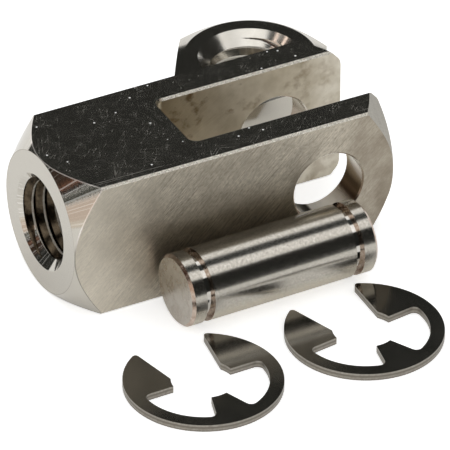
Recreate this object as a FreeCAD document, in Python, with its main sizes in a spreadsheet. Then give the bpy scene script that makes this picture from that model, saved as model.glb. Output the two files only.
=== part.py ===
import FreeCAD, Part
import math
import os
import Sketcher

# Clevis rod end laid out as a set: the fork, its cross pin, two retaining clips and a lock nut.
# The origin is where the cross bore's axis meets the fork's axis. The fork's axis is X and its
# mouth points along +X, the cross bore runs along Y, and +Z is up. Everything lies on one level
# surface, half the bar's side under the origin. Lengths are millimetres, angles are degrees.

SIZES = {
    # fork
    "bar_side": 12.7,
    "thread_reach": 24.0,
    "mouth_reach": 6.3,
    "slot_width": 6.8,
    "slot_reach": 11.45,
    "slot_corner_radius": 0.7,
    "edge_break": 0.2,
    "thread_end_flat": 12.6,
    "mouth_end_flat": 12.5,
    "mouth_round": 0.9,
    "cone_angle": 45,
    "bore_break": 0.12,
    # thread, as tapped for a 5/16-24 rod
    "tap_diameter": 6.9,
    "fork_countersink": 8.55,
    "countersink_angle": 90,
    # cross pin
    "pin_diameter": 6.35,
    "pin_clearance": 0.15,
    "pin_end_play": 0.9,
    "pin_land": 1.35,
    "pin_chamfer": 0.25,
    "groove_depth": 0.425,
    "groove_clearance": 0.1,
    # retaining clips
    "clip_thickness": 0.64,
    "clip_diameter": 13.46,
    "clip_ring_width": 1.2,
    "clip_grip": 0.06,
    "clip_mouth_width": 4.26,
    "clip_mouth_flare": 10.3,
    "clip_back_level": 0.24,
    "clip_prong_width": 1.5,
    "clip_prong_flare": 19,
    "clip_pocket_radius": 0.55,
    "clip_tip_radius": 0.3,
    # lock nut
    "nut_across_flats": 12.7,
    "nut_height": 4.76,
    "nut_end_flat": 11.6,
    "nut_chamfer_angle": 30,
    "nut_countersink": 9.1,
    # how the loose pieces lie beside the fork
    "pin_gap": 0.36,
    "pin_shift": -7.6,
    "pin_turn": 1.4,
    "clip_shift": -18.67,
    "clip_spacing": 1.96,
    "left_clip_tuck": 0.46,
    "left_clip_turn": 1.5,
    "right_clip_tuck": 0.91,
    "right_clip_turn": 8.5,
    "nut_gap": 3.78,
    "nut_shift": 4.66,
    "nut_turn": -2,
}

# Sizes that follow from the driving ones, as formulas on the sheet
HALF_BAR = "Sizes.bar_side / 2"
BORE_DIAMETER = "(Sizes.pin_diameter + Sizes.pin_clearance)"
GROOVE_WIDTH = "(Sizes.clip_thickness + Sizes.groove_clearance)"
GROOVE_INNER = "(Sizes.bar_side + Sizes.pin_end_play) / 2"
PIN_HALF = "((Sizes.bar_side + Sizes.pin_end_play) / 2 + " + GROOVE_WIDTH + " + Sizes.pin_land)"
GROOVE_DIAMETER = "(Sizes.pin_diameter - 2 * Sizes.groove_depth)"
CLIP_SEAT = f"({GROOVE_DIAMETER} - Sizes.clip_grip)"
CLIP_RADIUS = "Sizes.clip_diameter / 2"
RING_RADIUS = "(Sizes.clip_diameter / 2 - Sizes.clip_ring_width)"

# How far a cutting profile runs past the metal it removes
OVER_CUT = "1"
TOLERANCE = 1e-4

ORIGIN = (-1, 1)
X_AXIS = -1
START, END, CENTRE = 1, 2, 3

os.makedirs("parts", exist_ok=True)
doc = FreeCAD.newDocument("clevis_rod_end")
sheet = doc.addObject("Spreadsheet::Sheet", "Sizes")
for row, (alias, number) in enumerate(SIZES.items(), start=1):
    cell = f"A{row}"
    sheet.set(cell, str(number))
    sheet.setAlias(cell, alias)
doc.recompute()


def size(formula):
    """The number that a formula on the sheet gives."""
    return float(sheet.evalExpression(formula))


def vector(across, up):
    return FreeCAD.Vector(across, up, 0)


def new_body(name):
    body = doc.addObject("PartDesign::Body", name)
    body.Label = name
    return body


def origin_plane(body, role):
    for feature in body.Origin.OriginFeatures:
        if feature.Role == role:
            return feature
    raise RuntimeError(f"{body.Label} has no {role}")


def new_sketch(body, name, plane):
    sketch = body.newObject("Sketcher::SketchObject", body.Name + name)
    sketch.AttachmentSupport = (origin_plane(body, plane), "")
    sketch.MapMode = "FlatFace"
    return sketch


def hold(sketch, kind, *ends):
    """A constraint that has no size."""
    sketch.addConstraint(Sketcher.Constraint(kind, *ends))


def tie(sketch, kind, ends, formula):
    """A constraint whose size follows a formula on the sheet."""
    index = sketch.addConstraint(Sketcher.Constraint(kind, *ends, size(formula)))
    name = f"{kind}{index}"
    sketch.renameConstraint(index, name)
    sketch.setExpression("Constraints." + name, formula)


def lean(sketch, line, degrees):
    """Hold a line at an angle from the sketch's first axis."""
    start = math.radians(size(degrees))
    index = sketch.addConstraint(Sketcher.Constraint("Angle", line, start))
    name = f"Angle{index}"
    sketch.renameConstraint(index, name)
    sketch.setExpression("Constraints." + name, f"({degrees}) * 1 deg")


def tie_point(sketch, point, across, up, left=False, below=False):
    """Hold a point at its distances from the two axes; None leaves a direction free."""
    if across:
        ends = point + ORIGIN if left else ORIGIN + point
        tie(sketch, "DistanceX", ends, across)
    if up:
        ends = point + ORIGIN if below else ORIGIN + point
        tie(sketch, "DistanceY", ends, up)


def add_outline(sketch, points):
    """Closed run of straight lines through the points, joined end to end."""
    lines = []
    for here, there in zip(points, points[1:] + points[:1]):
        lines.append(sketch.addGeometry(Part.LineSegment(here, there)))
    for here, there in zip(lines, lines[1:] + lines[:1]):
        hold(sketch, "Coincident", here, END, there, START)
    return lines


def add_circle(sketch, diameter):
    """Circle about the sketch's origin."""
    circle = sketch.addGeometry(Part.Circle(vector(0, 0), FreeCAD.Vector(0, 0, 1), size(diameter) / 2))
    hold(sketch, "Coincident", circle, CENTRE, *ORIGIN)
    tie(sketch, "Diameter", (circle,), diameter)
    return circle


def add_feature(body, kind, name, sketch=None, **formulas):
    """A feature on the body's last shape, with its sizes bound to the sheet."""
    feature = body.newObject("PartDesign::" + kind, body.Name + name)
    if sketch:
        feature.Profile = sketch
    for prop, formula in formulas.items():
        feature.setExpression(prop, formula)
    return feature


def pad_between(body, name, sketch, length):
    """Pad by half of the length to each side of the sketch."""
    pad = add_feature(body, "Pad", name, sketch, Length=length)
    pad.SideType = "Symmetric"
    doc.recompute()
    return pad


def pocket_through(body, name, sketch):
    """Pocket through everything on both sides of the sketch."""
    pocket = add_feature(body, "Pocket", name, sketch)
    pocket.Type = "ThroughAll"
    pocket.SideType = "Symmetric"
    doc.recompute()
    return pocket


def turn_away(body, name, sketch, axis):
    """Full turned cut about a sketch axis."""
    groove = add_feature(body, "Groove", name, sketch)
    groove.ReferenceAxis = (sketch, [axis])
    groove.Angle = 360
    doc.recompute()
    return groove


def mirror_cuts(body, name, cuts, plane):
    mirror = body.newObject("PartDesign::Mirrored", body.Name + name)
    mirror.Originals = cuts
    mirror.MirrorPlane = (origin_plane(body, plane), [""])
    body.Tip = mirror
    doc.recompute()
    return mirror


def pick_edges(shape, wanted):
    return [f"Edge{number}" for number, edge in enumerate(shape.Edges, start=1) if wanted(edge)]


def work_edges(body, kind, name, prop, formula, wanted):
    """Chamfer or fillet the edges of the last shape that the test picks."""
    base = body.Tip
    edges = pick_edges(base.Shape, wanted)
    if not edges:
        raise RuntimeError(f"{name} finds no edges")
    feature = add_feature(body, kind, name, None, **{prop: formula})
    feature.Base = (base, edges)
    doc.recompute()
    return feature


def near(number, formula):
    return abs(number - size(formula)) < TOLERANCE


def ends_at(edge, test):
    return all(test(vertex.Point) for vertex in edge.Vertexes)


def tapped_hole(body, sketch, depth, countersink):
    """Bore at the thread's inner diameter, opened by a countersink where it starts."""
    doc.recompute()
    hole = add_feature(body, "Hole", "Tapping", sketch)
    hole.ThreadType = "None"
    hole.DepthType = "Dimension"
    hole.DrillPoint = "Flat"
    hole.HoleCutType = "Countersink"
    hole.setExpression("Diameter", "Sizes.tap_diameter")
    hole.setExpression("Depth", depth)
    hole.setExpression("HoleCutDiameter", countersink)
    hole.setExpression("HoleCutCountersinkAngle", "Sizes.countersink_angle")
    doc.recompute()
    return hole


def place(body, along_x, along_y, along_z, turn=None):
    body.setExpression(".Placement.Base.x", along_x)
    body.setExpression(".Placement.Base.y", along_y)
    body.setExpression(".Placement.Base.z", along_z)
    if turn:
        body.Placement.Rotation = FreeCAD.Rotation(FreeCAD.Vector(0, 0, 1), 1)
        body.setExpression(".Placement.Rotation.Angle", turn)


def make_fork():
    """Square bar, slotted and cross bored at its mouth, turned at both ends and tapped."""
    body = new_body("clevis_fork")
    half = size(HALF_BAR)

    section = new_sketch(body, "Section", "YZ_Plane")
    corners = [vector(-half, -half), vector(half, -half), vector(half, half), vector(-half, half)]
    sides = add_outline(section, corners)
    hold(section, "Horizontal", sides[0])
    hold(section, "Vertical", sides[1])
    hold(section, "Horizontal", sides[2])
    hold(section, "Vertical", sides[3])
    tie_point(section, (sides[0], START), HALF_BAR, HALF_BAR, left=True, below=True)
    tie_point(section, (sides[2], START), HALF_BAR, HALF_BAR)
    bar = add_feature(body, "Pad", "Bar", section)
    bar.SideType = "Two sides"
    bar.setExpression("Length", "Sizes.mouth_reach")
    bar.setExpression("Length2", "Sizes.thread_reach")
    doc.recompute()

    def runs_along(edge):
        return abs(edge.Length - size("Sizes.mouth_reach + Sizes.thread_reach")) < TOLERANCE

    work_edges(body, "Chamfer", "LongEdges", "Size", "Sizes.edge_break", runs_along)
    turn_thread_end(body)
    turn_mouth_end(body)
    cut_slot(body)
    cut_cross_bore(body)

    tap = new_sketch(body, "Tap", "YZ_Plane")
    tap.setExpression("AttachmentOffset.Base.z", "-Sizes.thread_reach")
    add_circle(tap, "Sizes.tap_diameter")
    depth = f"Sizes.thread_reach - Sizes.slot_reach + {OVER_CUT}"
    hole = tapped_hole(body, tap, depth, "Sizes.fork_countersink")
    hole.Reversed = True
    doc.recompute()
    return body


def cut_slot(body):
    """Slot between the cheeks, rounded where its sides meet its floor, with broken edges."""
    half_width = "Sizes.slot_width / 2"
    past_mouth = "Sizes.mouth_reach + " + OVER_CUT
    sketch = new_sketch(body, "SlotOutline", "XY_Plane")
    left, right, side = -size("Sizes.slot_reach"), size(past_mouth), size(half_width)
    corners = [vector(left, -side), vector(right, -side), vector(right, side), vector(left, side)]
    lines = add_outline(sketch, corners)
    hold(sketch, "Horizontal", lines[0])
    hold(sketch, "Vertical", lines[1])
    hold(sketch, "Horizontal", lines[2])
    hold(sketch, "Vertical", lines[3])
    tie_point(sketch, (lines[0], START), "Sizes.slot_reach", half_width, left=True, below=True)
    tie_point(sketch, (lines[2], START), past_mouth, half_width)
    pocket_through(body, "Slot", sketch)

    def floor_corner(edge):
        upright = abs(edge.BoundBox.ZLength - size("Sizes.bar_side")) < TOLERANCE
        return upright and near(-edge.BoundBox.XMin, "Sizes.slot_reach")

    radius = "Sizes.slot_corner_radius"
    work_edges(body, "Fillet", "SlotFloorCorners", "Radius", radius, floor_corner)

    def slot_rim(edge):
        def on_rim(point):
            between = abs(point.y) < size(half_width) + TOLERANCE
            return between and near(abs(point.z), HALF_BAR)
        return ends_at(edge, on_rim)

    work_edges(body, "Chamfer", "SlotRims", "Size", "Sizes.edge_break", slot_rim)


def cut_cross_bore(body):
    """Bore for the pin through both cheeks, with its four edges broken."""
    sketch = new_sketch(body, "BoreOutline", "XZ_Plane")
    add_circle(sketch, BORE_DIAMETER)
    pocket_through(body, "CrossBore", sketch)

    def bore_edge(edge):
        round_edge = isinstance(edge.Curve, Part.Circle)
        return round_edge and near(2 * edge.Curve.Radius, BORE_DIAMETER)

    work_edges(body, "Chamfer", "BoreEdges", "Size", "Sizes.bore_break", bore_edge)


def set_back(flat):
    """How far an end's cone runs along the fork, out to the cutting profile's top."""
    return f"(Sizes.bar_side - {flat} / 2) * tan(Sizes.cone_angle * 1 deg)"


def turn_thread_end(body):
    """Cone that leaves a round flat face about the thread and cuts the bar's corners away."""
    sketch = new_sketch(body, "ThreadCone", "XY_Plane")
    cone_end = "Sizes.thread_reach - " + set_back("Sizes.thread_end_flat")
    face, flat = -size("Sizes.thread_reach"), size("Sizes.thread_end_flat / 2")
    outer = size("Sizes.bar_side")
    outline = [vector(face, flat), vector(-size(cone_end), outer), vector(face, outer)]
    cone, top, end = add_outline(sketch, outline)
    hold(sketch, "Horizontal", top)
    hold(sketch, "Vertical", end)
    tie_point(sketch, (cone, START), "Sizes.thread_reach", "Sizes.thread_end_flat / 2", left=True)
    tie_point(sketch, (top, START), cone_end, "Sizes.bar_side", left=True)
    turn_away(body, "ThreadEnd", sketch, "H_Axis")


def turn_mouth_end(body):
    """Cone across the cheeks' ends that takes their corners off, rounded where it meets their faces."""
    sketch = new_sketch(body, "MouthCone", "XY_Plane")
    cone_end = set_back("Sizes.mouth_end_flat") + " - Sizes.mouth_reach"
    round_start = "Sizes.mouth_end_flat / 2 - Sizes.mouth_round * tan(Sizes.cone_angle / 2 * 1 deg)"
    face, outer, radius = size("Sizes.mouth_reach"), size("Sizes.bar_side"), size("Sizes.mouth_round")
    tilt = math.radians(size("Sizes.cone_angle"))
    start = vector(face, size(round_start))
    centre = start - vector(radius, 0)
    finish = centre + vector(radius * math.cos(tilt), radius * math.sin(tilt))
    back = vector(-size(cone_end), outer)
    corner = vector(face, outer)

    end = sketch.addGeometry(Part.LineSegment(start, corner))
    top = sketch.addGeometry(Part.LineSegment(corner, back))
    cone = sketch.addGeometry(Part.LineSegment(back, finish))
    circle = Part.Circle(centre, FreeCAD.Vector(0, 0, 1), radius)
    rounding = sketch.addGeometry(Part.ArcOfCircle(circle, 0, tilt))
    hold(sketch, "Coincident", end, END, top, START)
    hold(sketch, "Coincident", top, END, cone, START)
    hold(sketch, "Tangent", cone, END, rounding, END)
    hold(sketch, "Coincident", rounding, START, end, START)
    hold(sketch, "Vertical", end)
    hold(sketch, "Horizontal", top)
    tie(sketch, "Radius", (rounding,), "Sizes.mouth_round")
    tie_point(sketch, (end, START), "Sizes.mouth_reach", round_start)
    tie_point(sketch, (rounding, CENTRE), None, round_start)
    tie_point(sketch, (top, END), cone_end, "Sizes.bar_side", left=True)
    turn_away(body, "MouthEnd", sketch, "H_Axis")


def make_pin():
    """Cross pin with a clip groove near each end and chamfered ends."""
    body = new_body("clevis_pin")
    section = new_sketch(body, "Section", "YZ_Plane")
    add_circle(section, "Sizes.pin_diameter")
    pad_between(body, "Rod", section, "2 * " + PIN_HALF)

    def rim(edge):
        return near(abs(edge.BoundBox.XMin), PIN_HALF) and near(abs(edge.BoundBox.XMax), PIN_HALF)

    work_edges(body, "Chamfer", "Ends", "Size", "Sizes.pin_chamfer", rim)

    sketch = new_sketch(body, "GrooveSection", "XY_Plane")
    inner, width = size(GROOVE_INNER), size(GROOVE_WIDTH)
    bottom, outer = size(GROOVE_DIAMETER + " / 2"), size("Sizes.pin_diameter")
    corners = [
        vector(inner, bottom),
        vector(inner + width, bottom),
        vector(inner + width, outer),
        vector(inner, outer),
    ]
    lines = add_outline(sketch, corners)
    hold(sketch, "Horizontal", lines[0])
    hold(sketch, "Vertical", lines[1])
    hold(sketch, "Horizontal", lines[2])
    hold(sketch, "Vertical", lines[3])
    tie_point(sketch, (lines[0], START), GROOVE_INNER, GROOVE_DIAMETER + " / 2")
    tie_point(sketch, (lines[2], START), f"{GROOVE_INNER} + {GROOVE_WIDTH}", "Sizes.pin_diameter")
    groove = turn_away(body, "ClipGroove", sketch, "H_Axis")
    mirror_cuts(body, "OtherGroove", [groove], "YZ_Plane")

    pin_row = f"-({HALF_BAR} + Sizes.pin_gap + Sizes.pin_diameter / 2)"
    place(body, "Sizes.pin_shift", pin_row, f"Sizes.pin_diameter / 2 - {HALF_BAR}", "Sizes.pin_turn")
    return body


def make_clip(name, shift, tuck, turn):
    """Retaining clip: a flat open ring whose three inward prongs seat in the pin's groove."""
    body = new_body(name)
    disc = new_sketch(body, "Disc", "XY_Plane")
    add_circle(disc, "Sizes.clip_diameter")
    pad = add_feature(body, "Pad", "Sheet", disc, Length="Sizes.clip_thickness")
    pad.SideType = "One side"
    doc.recompute()

    seat = new_sketch(body, "SeatOutline", "XY_Plane")
    add_circle(seat, CLIP_SEAT)
    pocket_through(body, "Seat", seat)
    open_clip_mouth(body)
    relieve_prongs(body)

    def lobe_tip(edge):
        upright = near(edge.BoundBox.ZLength, "Sizes.clip_thickness")
        return upright and ends_at(edge, lambda point: near(math.hypot(point.x, point.y), CLIP_RADIUS))

    def pocket_corner(edge):
        upright = near(edge.BoundBox.ZLength, "Sizes.clip_thickness")
        return upright and ends_at(edge, lambda point: near(math.hypot(point.x, point.y), RING_RADIUS))

    work_edges(body, "Fillet", "PocketCorners", "Radius", "Sizes.clip_pocket_radius", pocket_corner)
    work_edges(body, "Fillet", "LobeTips", "Radius", "Sizes.clip_tip_radius", lobe_tip)

    clip_row = f"-({HALF_BAR} + Sizes.pin_gap + Sizes.pin_diameter + {CLIP_RADIUS} - {tuck})"
    place(body, shift, clip_row, "-" + HALF_BAR, turn)
    return body


def open_clip_mouth(body):
    """Gap between the lobes, flared so that the clip pushes onto the pin."""
    sketch = new_sketch(body, "MouthOutline", "XY_Plane")
    throat = "Sizes.clip_mouth_width / 2"
    flared = throat + " + Sizes.clip_diameter * tan(Sizes.clip_mouth_flare * 1 deg)"
    inner, outer, wide = size(throat), size("Sizes.clip_diameter"), size(flared)
    corners = [vector(-inner, 0), vector(inner, 0), vector(wide, outer), vector(-wide, outer)]
    lines = add_outline(sketch, corners)
    hold(sketch, "PointOnObject", lines[0], START, X_AXIS)
    hold(sketch, "PointOnObject", lines[0], END, X_AXIS)
    tie_point(sketch, (lines[0], START), throat, None, left=True)
    tie_point(sketch, (lines[0], END), throat, None)
    tie_point(sketch, (lines[2], START), flared, "Sizes.clip_diameter")
    tie_point(sketch, (lines[3], START), flared, "Sizes.clip_diameter", left=True)
    pocket_through(body, "Mouth", sketch)


def relieve_prongs(body):
    """Pocket between a side prong and the middle prong, out to the ring, on both sides."""
    inner_level = CLIP_SEAT + " / 4"
    inner_across = f"Sizes.clip_prong_width / 2 - {inner_level} * tan(Sizes.clip_prong_flare * 1 deg)"
    ring, back = size(RING_RADIUS), size("Sizes.clip_back_level")
    inner = vector(size(inner_across), -size(inner_level))
    hub = vector(inner.x, back)
    shoulder = vector(math.sqrt(ring ** 2 - back ** 2), back)

    # The prong's side meets the ring a little outside its own direction, because it starts off centre
    side_angle = math.radians(size("90 + Sizes.clip_prong_flare"))
    toward_root = vector(-math.cos(side_angle), -math.sin(side_angle))
    along = inner.dot(toward_root)
    reach = math.sqrt(along ** 2 + ring ** 2 - inner.dot(inner)) - along
    root = inner + toward_root * reach

    sketch = new_sketch(body, "PocketOutline", "XY_Plane")
    circle = Part.Circle(vector(0, 0), FreeCAD.Vector(0, 0, 1), ring)
    start_angle = math.atan2(root.y, root.x)
    end_angle = math.atan2(shoulder.y, shoulder.x)
    rim = sketch.addGeometry(Part.ArcOfCircle(circle, start_angle, end_angle))
    back_edge = sketch.addGeometry(Part.LineSegment(shoulder, hub))
    closing = sketch.addGeometry(Part.LineSegment(hub, inner))
    side = sketch.addGeometry(Part.LineSegment(root, inner))
    hold(sketch, "Coincident", rim, END, back_edge, START)
    hold(sketch, "Coincident", back_edge, END, closing, START)
    hold(sketch, "Coincident", closing, END, side, END)
    hold(sketch, "Coincident", side, START, rim, START)
    hold(sketch, "Coincident", rim, CENTRE, *ORIGIN)
    hold(sketch, "Horizontal", back_edge)
    hold(sketch, "Vertical", closing)
    tie(sketch, "Radius", (rim,), RING_RADIUS)
    tie_point(sketch, (back_edge, START), None, "Sizes.clip_back_level")
    lean(sketch, side, "90 + Sizes.clip_prong_flare")
    tie_point(sketch, (side, END), inner_across, inner_level, below=True)
    pocket = pocket_through(body, "Relief", sketch)
    mirror_cuts(body, "OtherRelief", [pocket], "YZ_Plane")


def make_nut():
    """Hexagon lock nut, chamfered and countersunk on both faces."""
    body = new_body("lock_nut")
    half = "Sizes.nut_across_flats / 2"
    corner_radius = size(half) / math.cos(math.pi / 6)

    hexagon = new_sketch(body, "Hexagon", "XY_Plane")
    turns = [number * math.pi / 3 for number in range(6)]
    corners = [vector(corner_radius * math.cos(turn), corner_radius * math.sin(turn)) for turn in turns]
    sides = add_outline(hexagon, corners)
    outer = hexagon.addGeometry(Part.Circle(vector(0, 0), FreeCAD.Vector(0, 0, 1), corner_radius), True)
    hold(hexagon, "Coincident", outer, CENTRE, *ORIGIN)
    for side in sides:
        hold(hexagon, "PointOnObject", side, START, outer)
    for side in sides[1:]:
        hold(hexagon, "Equal", sides[0], side)
    hold(hexagon, "PointOnObject", sides[0], START, X_AXIS)
    tie_point(hexagon, (sides[1], START), None, half)
    pad_between(body, "Blank", hexagon, "Sizes.nut_height")

    sketch = new_sketch(body, "ChamferSection", "XZ_Plane")
    face, reach = "Sizes.nut_height / 2", "Sizes.nut_across_flats"
    fall = "(Sizes.nut_across_flats - Sizes.nut_end_flat / 2) * tan(Sizes.nut_chamfer_angle * 1 deg)"
    low = f"{fall} - {face}"
    flat, top_level, outer = size("Sizes.nut_end_flat / 2"), size(face), size(reach)
    outline = [vector(flat, top_level), vector(outer, -size(low)), vector(outer, top_level)]
    cone, end, top = add_outline(sketch, outline)
    hold(sketch, "Vertical", end)
    hold(sketch, "Horizontal", top)
    tie_point(sketch, (cone, START), "Sizes.nut_end_flat / 2", face)
    tie_point(sketch, (end, START), reach, low, below=True)
    chamfer = turn_away(body, "Chamfer", sketch, "V_Axis")

    tap = new_sketch(body, "Tap", "XY_Plane")
    tap.setExpression("AttachmentOffset.Base.z", "Sizes.nut_height / 2")
    add_circle(tap, "Sizes.tap_diameter")
    hole = tapped_hole(body, tap, f"Sizes.nut_height + {OVER_CUT}", "Sizes.nut_countersink")
    mirror_cuts(body, "OtherFace", [chamfer, hole], "XY_Plane")

    nut_row = f"{HALF_BAR} + Sizes.nut_gap + {half}"
    place(body, "Sizes.nut_shift", nut_row, f"Sizes.nut_height / 2 - {HALF_BAR}", "Sizes.nut_turn")
    return body


def check_document():
    """Stop if a feature failed, a cut removed nothing or a sketch has a free size."""
    for item in doc.Objects:
        if "Invalid" in item.State or "Error" in item.State:
            raise RuntimeError(f"{item.Name} failed")
        if item.TypeId == "Sketcher::SketchObject" and not item.FullyConstrained:
            raise RuntimeError(f"{item.Name} is not fully constrained")
        cuts = item.TypeId.removeprefix("PartDesign::") in ("Pocket", "Groove", "Hole", "Chamfer")
        if cuts and item.Shape.Volume > item.BaseFeature.Shape.Volume - TOLERANCE:
            raise RuntimeError(f"{item.Name} cuts nothing")


def export(bodies):
    for body in bodies:
        shape = body.Shape
        if shape.isNull() or not shape.isValid() or len(shape.Solids) != 1:
            raise RuntimeError(f"{body.Label} is not one good solid")
        shape.exportStep(f"parts/{body.Label}.step")
        print(f"{body.Label}: {shape.Volume:.2f} mm3")


RIGHT_CLIP_SHIFT = "Sizes.clip_shift + Sizes.clip_diameter + Sizes.clip_spacing"

sub_parts = [
    make_fork(),
    make_pin(),
    make_clip("retaining_clip_left", "Sizes.clip_shift", "Sizes.left_clip_tuck", "Sizes.left_clip_turn"),
    make_clip("retaining_clip_right", RIGHT_CLIP_SHIFT, "Sizes.right_clip_tuck", "Sizes.right_clip_turn"),
    make_nut(),
]
doc.recompute()
check_document()
export(sub_parts)
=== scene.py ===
import math

import bmesh
import bpy
from mathutils import Matrix, Vector


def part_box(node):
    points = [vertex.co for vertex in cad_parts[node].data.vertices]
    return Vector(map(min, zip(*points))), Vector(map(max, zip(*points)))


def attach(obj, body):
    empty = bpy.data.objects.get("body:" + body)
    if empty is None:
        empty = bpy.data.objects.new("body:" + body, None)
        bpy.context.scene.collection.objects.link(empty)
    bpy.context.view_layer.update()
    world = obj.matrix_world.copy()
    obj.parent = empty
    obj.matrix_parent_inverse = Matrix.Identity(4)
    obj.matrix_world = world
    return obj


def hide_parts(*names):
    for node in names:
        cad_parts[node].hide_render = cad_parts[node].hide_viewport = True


# Looks of the clevis rod end: the fork, its cross pin, two retaining clips and a lock nut, in bare
# stainless steel on a white table. Lengths are metres unless a name ends in _MM. Materials read places in
# millimetres.

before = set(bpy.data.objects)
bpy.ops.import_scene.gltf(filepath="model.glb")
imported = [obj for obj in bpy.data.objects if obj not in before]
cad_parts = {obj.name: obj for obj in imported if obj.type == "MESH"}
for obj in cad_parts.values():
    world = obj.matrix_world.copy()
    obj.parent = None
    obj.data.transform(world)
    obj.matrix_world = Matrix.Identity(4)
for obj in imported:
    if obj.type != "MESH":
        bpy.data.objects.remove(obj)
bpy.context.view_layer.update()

MM = 0.001
X, Y, Z = Vector((1, 0, 0)), Vector((0, 1, 0)), Vector((0, 0, 1))

# Camera, as the photograph was taken: a long lens from the front left, about 34 degrees up
CAMERA_AZIMUTH = math.radians(-28.153)
CAMERA_ELEVATION = math.radians(33.976)
CAMERA_ROLL = math.radians(0.655)
CAMERA_DISTANCE = 0.95528
CAMERA_TARGET = Vector((-10.425, -7.408, 0)) * MM
LENS_MM = 913.0
SENSOR_MM = 36.0
NEAREST, FARTHEST = 0.1, 20

# Thread of the fork and the nut
THREAD_PITCH = 1.058 * MM
THREAD_MAJOR_RADIUS = 3.97 * MM
THREAD_CREST_RADIUS = 3.32 * MM
THREAD_STEPS = 64
THREAD_ROOT_SHARE = 0.14
TAP_LEAD_TURNS = 1.5
TAP_SPARE_TURNS = 3
TAP_MERGE = 0.002 * MM
TAP_CUT = 1e-7
CAD_MERGE = 0.001 * MM

table_level = min(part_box(node)[0].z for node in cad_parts)


def mesh_of(work, name):
    """The mesh of a finished bmesh."""
    mesh = bpy.data.meshes.new(name)
    work.to_mesh(mesh)
    work.free()
    return mesh


def piece_from(mesh, name, *nodes):
    """A new object for the mesh that stands for CAD nodes and moves with the set."""
    piece = bpy.data.objects.new(name, mesh)
    bpy.context.scene.collection.objects.link(piece)
    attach(piece, "root")
    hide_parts(*nodes)
    return piece


def merged_copy(node, name):
    """A copy of a CAD node's mesh as one closed shell."""
    work = bmesh.new()
    work.from_mesh(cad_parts[node].data)
    bmesh.ops.remove_doubles(work, verts=work.verts, dist=CAD_MERGE)
    bmesh.ops.recalc_face_normals(work, faces=work.faces)
    return mesh_of(work, name)


class Turned:
    """A turned surface: a straight or a round profile, swept about an axis.

    The profile is two points (place along the axis, distance from it), or a centre point and a radius.
    """

    def __init__(self, origin, axis, first, last):
        self.origin, self.axis, self.first, self.last = origin, axis, first, last

    def look(self, point):
        """How far the point is from the surface, and the surface's normal there."""
        from_origin = point - self.origin
        along = from_origin.dot(self.axis)
        across = from_origin - self.axis * along
        out = across.normalized()
        place = Vector((along, across.length))
        if isinstance(self.last, float):
            offset = place - Vector(self.first)
            side, miss = offset.normalized(), abs(offset.length - self.last)
        else:
            whole = Vector(self.last) - Vector(self.first)
            run = whole.normalized()
            offset = place - Vector(self.first)
            side = Vector((-run.y, run.x))
            beyond = max(-offset.dot(run), offset.dot(run) - whole.length)
            miss = max(abs(offset.dot(side)), beyond)
        return miss, self.axis * side.x + out * side.y


ON_SURFACE = 0.012 * MM
NEARLY_ALONG = math.cos(math.radians(16))
SHARP_ANGLE = math.radians(35)


def true_normals(mesh, surfaces, keep_soft=None):
    """Exact normals on turned and flat faces; the faces that keep_soft names stay softly shaded."""
    mesh.shade_smooth()
    mesh.set_sharp_from_angle(angle=SHARP_ANGLE)
    normals = [Vector((0, 0, 0))] * len(mesh.loops)
    points = [vertex.co for vertex in mesh.vertices]
    for face in mesh.polygons:
        found = None
        for surface in surfaces:
            looks = [surface.look(points[index]) for index in face.vertices]
            if max(miss for miss, normal in looks) > ON_SURFACE:
                continue
            sign = math.copysign(1, looks[0][1].dot(face.normal))
            corners = [normal * sign for miss, normal in looks]
            if min(normal.dot(face.normal) for normal in corners) > NEARLY_ALONG:
                found = corners
                break
        if not found and keep_soft and keep_soft(face):
            continue
        for corner, loop in enumerate(face.loop_indices):
            normals[loop] = found[corner] if found else face.normal.copy()
    mesh.normals_split_custom_set([tuple(normal) for normal in normals])


def thread_tool(start, axis, out, length):
    """A solid right-handed tap along an axis: start is a point on it, out any direction across it."""
    turns = math.ceil(length / THREAD_PITCH) + TAP_SPARE_TURNS
    begin = start - axis * THREAD_PITCH * TAP_LEAD_TURNS
    flank = THREAD_PITCH * (1 - THREAD_ROOT_SHARE) / 2
    root = THREAD_PITCH * THREAD_ROOT_SHARE
    tap = bmesh.new()
    profile = []
    for turn in range(turns):
        valley = begin + axis * THREAD_PITCH * turn
        profile.append(valley + out * THREAD_CREST_RADIUS)
        profile.append(valley + axis * flank + out * THREAD_MAJOR_RADIUS)
        profile.append(valley + axis * (flank + root) + out * THREAD_MAJOR_RADIUS)
    profile.append(begin + axis * THREAD_PITCH * turns + out * THREAD_CREST_RADIUS)
    verts = [tap.verts.new(point) for point in profile]
    edges = [tap.edges.new(pair) for pair in zip(verts, verts[1:])]
    bmesh.ops.spin(
        tap,
        geom=verts + edges,
        cent=start,
        axis=axis,
        dvec=axis * THREAD_PITCH / THREAD_STEPS,
        angle=math.tau,
        steps=THREAD_STEPS,
    )
    bmesh.ops.remove_doubles(tap, verts=tap.verts, dist=TAP_MERGE)
    for point, side in ((start, -axis), (start + axis * length, axis)):
        everything = tap.verts[:] + tap.edges[:] + tap.faces[:]
        bmesh.ops.bisect_plane(
            tap, geom=everything, plane_co=point, plane_no=side, clear_outer=True, dist=TAP_CUT
        )
    rims = [edge for edge in tap.edges if edge.is_boundary]
    bmesh.ops.holes_fill(tap, edges=rims, sides=0)
    bmesh.ops.recalc_face_normals(tap, faces=tap.faces)
    return mesh_of(tap, "thread_tool")


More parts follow.
